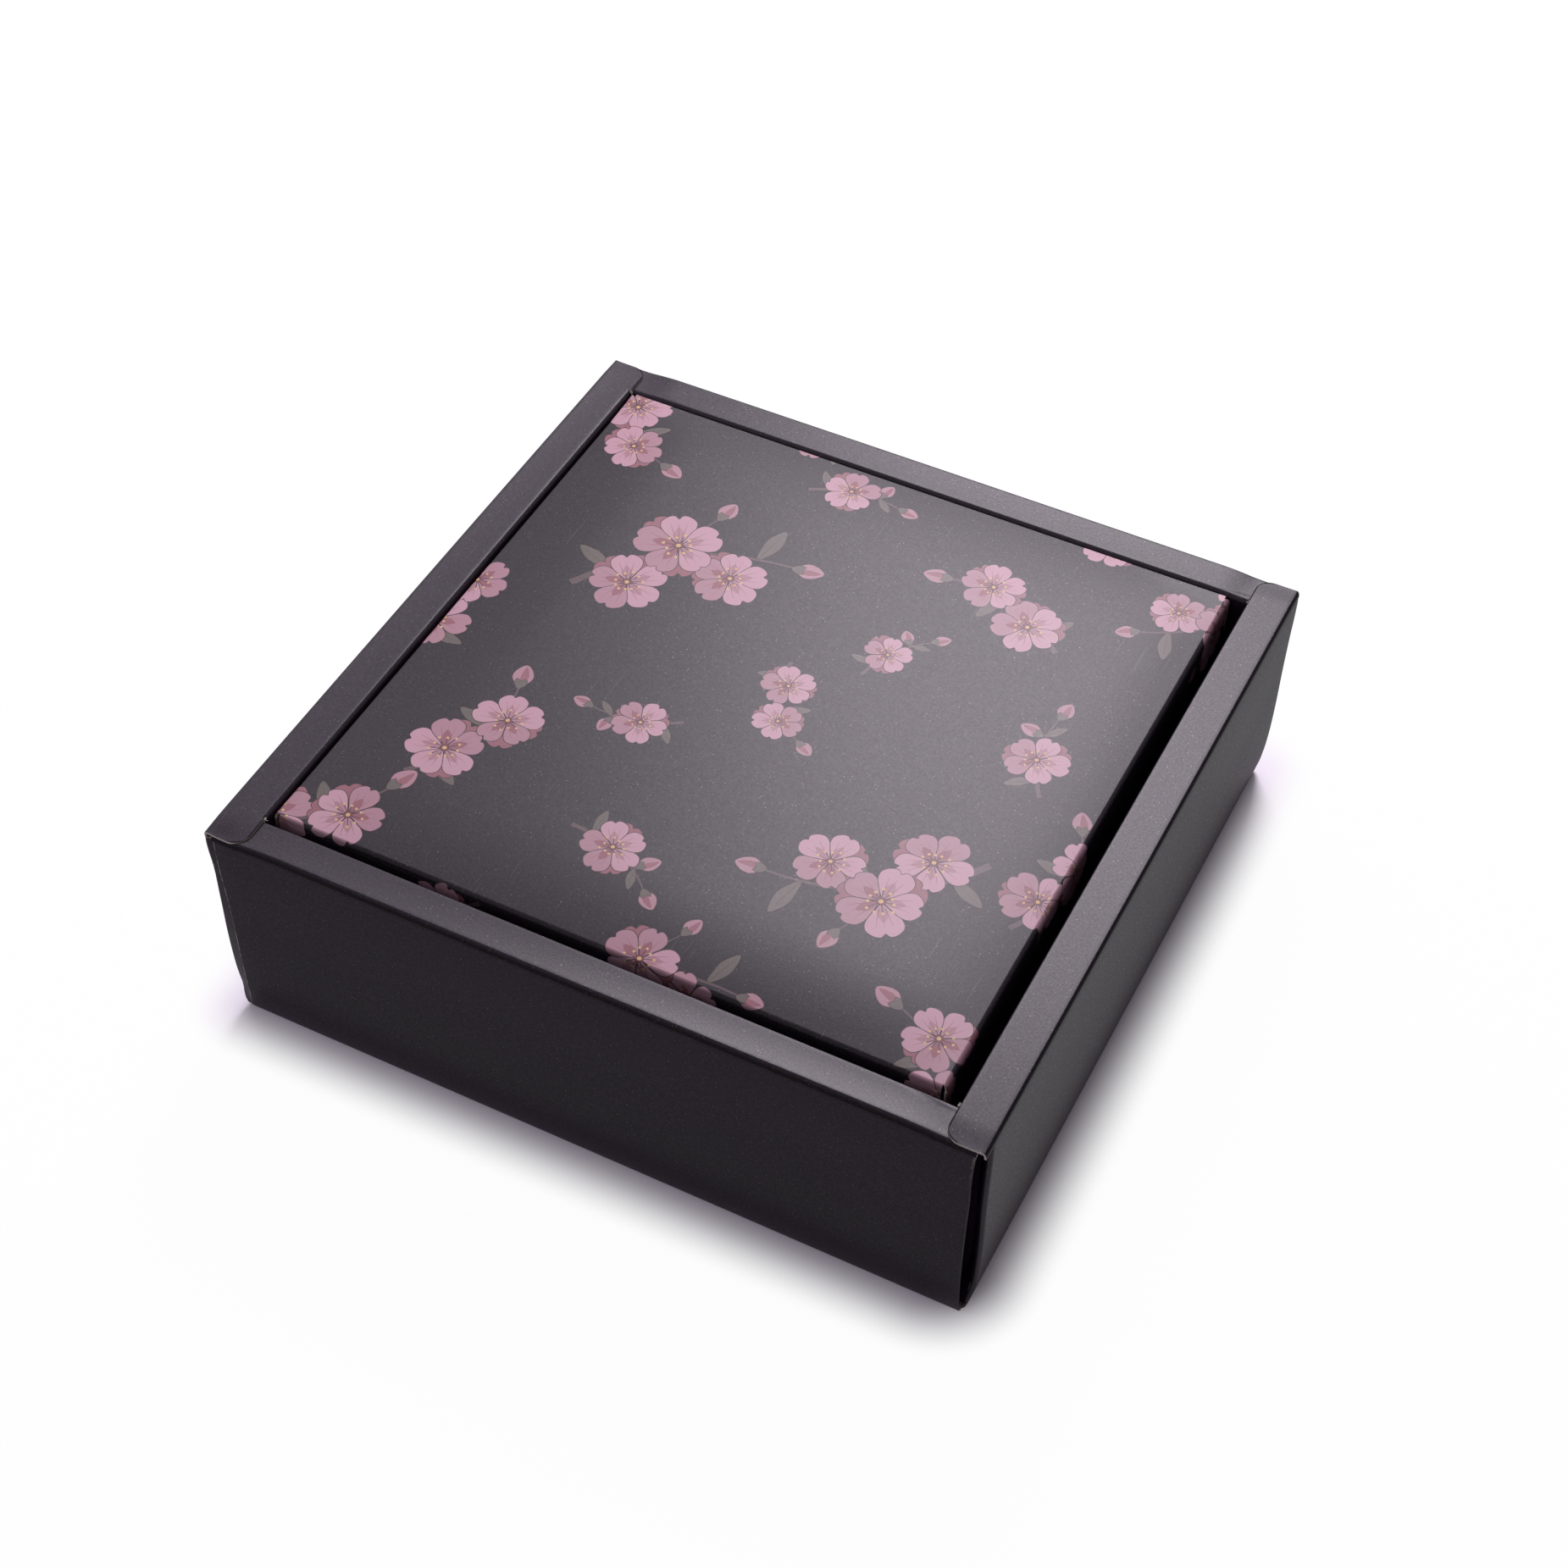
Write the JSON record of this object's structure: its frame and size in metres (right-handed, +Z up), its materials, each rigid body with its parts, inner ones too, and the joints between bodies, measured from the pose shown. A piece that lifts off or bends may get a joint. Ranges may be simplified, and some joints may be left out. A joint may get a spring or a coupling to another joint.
{
  "type": "gift box",
  "caption": "Square black paperboard gift box: a folded tray with hollow walls and a raised frame rim, and a blossom-printed lid that drops into the frame.",
  "frame": {"origin": "middle of the tray's underside, on the surface it stands on", "axes": "+Z up, +X to the right along the front edge, -Y towards the front"},
  "size_m": [0.2016, 0.1998, 0.0663],
  "materials": {
    "black_board": "black paperboard with a satin laminate and fine pearly flecks",
    "printed_board": "dark grey printed paperboard with pink blossom sprigs under a satin laminate"
  },
  "bodies": {
    "tray": {"tray_floor": "black_board", "outer_wall_front": "black_board", "rail_front": "black_board", "inner_wall_front": "black_board", "floor_flap_front": "black_board", "outer_wall_right": "black_board", "rail_right": "black_board", "inner_wall_right": "black_board", "floor_flap_right": "black_board", "outer_wall_back": "black_board", "rail_back": "black_board", "inner_wall_back": "black_board", "floor_flap_back": "black_board", "outer_wall_left": "black_board", "rail_left": "black_board", "inner_wall_left": "black_board", "floor_flap_left": "black_board", "end_web_front_left": "black_board", "side_web_front_left": "black_board", "end_web_front_right": "black_board", "side_web_front_right": "black_board", "end_web_back_left": "black_board", "side_web_back_left": "black_board", "end_web_back_right": "black_board", "side_web_back_right": "black_board"},
    "lid": {"lid_top": "printed_board", "lid_skirt_front": "printed_board", "lid_skirt_right": "printed_board", "lid_skirt_back": "printed_board", "lid_skirt_left": "printed_board", "lid_corner_tab_front_left": "printed_board", "lid_corner_tab_front_right": "printed_board", "lid_corner_tab_back_left": "printed_board", "lid_corner_tab_back_right": "printed_board"}
  },
  "joints": [
    {"name": "lid_lift", "type": "slide", "parent": "tray", "child": "lid", "axis": [0, 0, 1], "range_m": [0, 0.1]}
  ]
}
